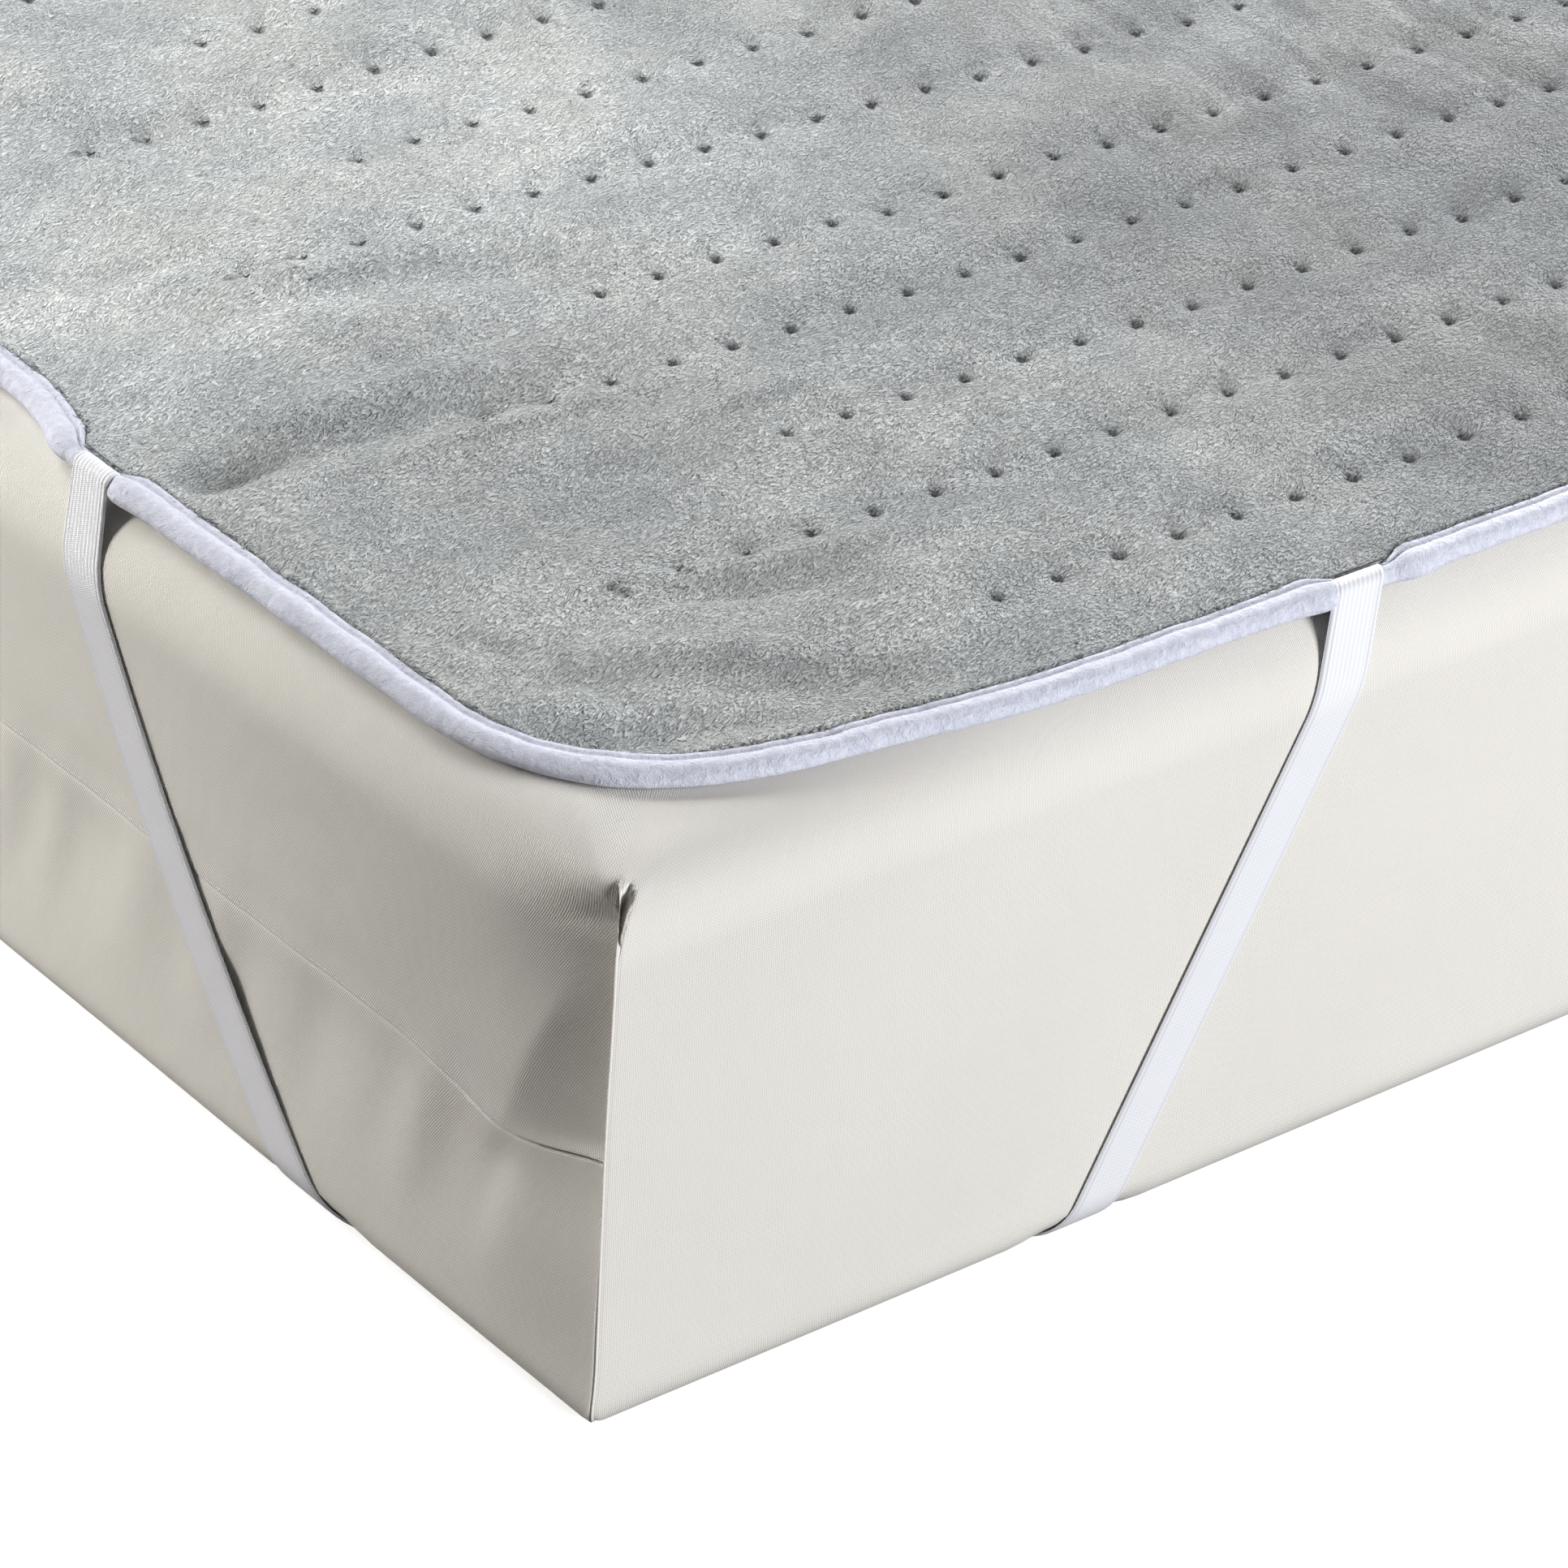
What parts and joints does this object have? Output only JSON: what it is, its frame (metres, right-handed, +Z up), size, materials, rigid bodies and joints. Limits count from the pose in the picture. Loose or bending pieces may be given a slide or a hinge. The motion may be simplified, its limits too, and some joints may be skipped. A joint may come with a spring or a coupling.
{
  "type": "electric underblanket on a mattress",
  "caption": "Heated plush underblanket with a bound edge, laid on a plain single mattress and held by elastic corner straps that pass under it",
  "frame": {"origin": "middle of the mattress's underside, on the surface it rests on", "axes": "+X along the mattress towards the head end with the controller inlet, +Y across it, +Z up"},
  "size_m": [1.9034, 0.9034, 0.2208],
  "materials": {
    "mattress_canvas": "plain-woven cream canvas cover, matt",
    "grey_plush": "short brushed pile, patchy sheen, small sewn tacks in rows",
    "lavender_fleece": "soft brushed fleece, folded over the edge and sewn",
    "white_elastic": "ribbed woven elastic tape",
    "inlet_plastic": "moulded, fine satin"
  },
  "bodies": {
    "root": {"mattress": "mattress_canvas", "underblanket": "grey_plush", "binding": "lavender_fleece", "strap_foot_right": "white_elastic", "strap_foot_left": "white_elastic", "strap_head_left": "white_elastic", "strap_head_right": "white_elastic", "controller_inlet": "inlet_plastic"}
  },
  "joints": []
}
